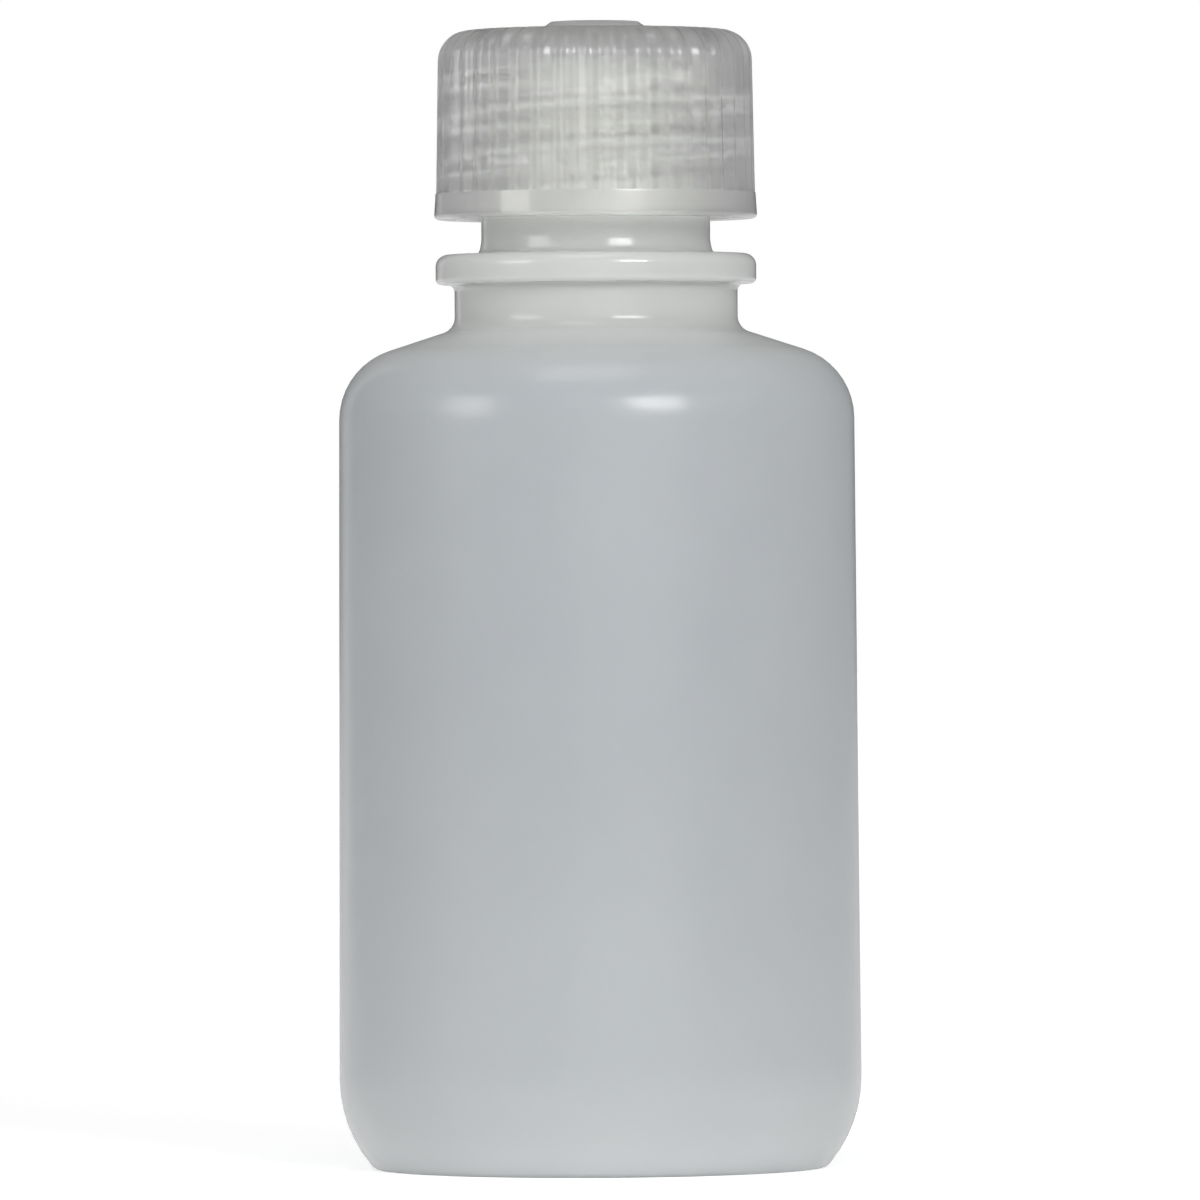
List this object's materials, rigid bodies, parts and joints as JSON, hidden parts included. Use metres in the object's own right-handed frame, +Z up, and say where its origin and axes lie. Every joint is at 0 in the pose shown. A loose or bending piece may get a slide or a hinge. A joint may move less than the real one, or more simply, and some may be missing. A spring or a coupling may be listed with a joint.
{
  "type": "laboratory bottle",
  "caption": "Narrow-mouth cylindrical laboratory bottle with a threaded neck, a support ring and a ribbed screw cap.",
  "frame": {"origin": "middle of the standing ring under the bottle, on the surface that the bottle stands on", "axes": "+Z up along the bottle's axis, out of its mouth; -Y is the side that the picture shows"},
  "size_m": [0.0394, 0.0394, 0.0865],
  "materials": {
    "bottle_plastic": "natural translucent polyethylene, milky, satin",
    "cap_plastic": "natural translucent polypropylene, clearer than the bottle, smooth"
  },
  "bodies": {
    "bottle": {"bottle": "bottle_plastic"},
    "cap": {"cap": "cap_plastic"}
  },
  "joints": [
    {"name": "cap_lift", "type": "slide", "parent": "bottle", "child": "cap", "axis": [0, 0, 1], "range_m": [0, 0.03]}
  ]
}
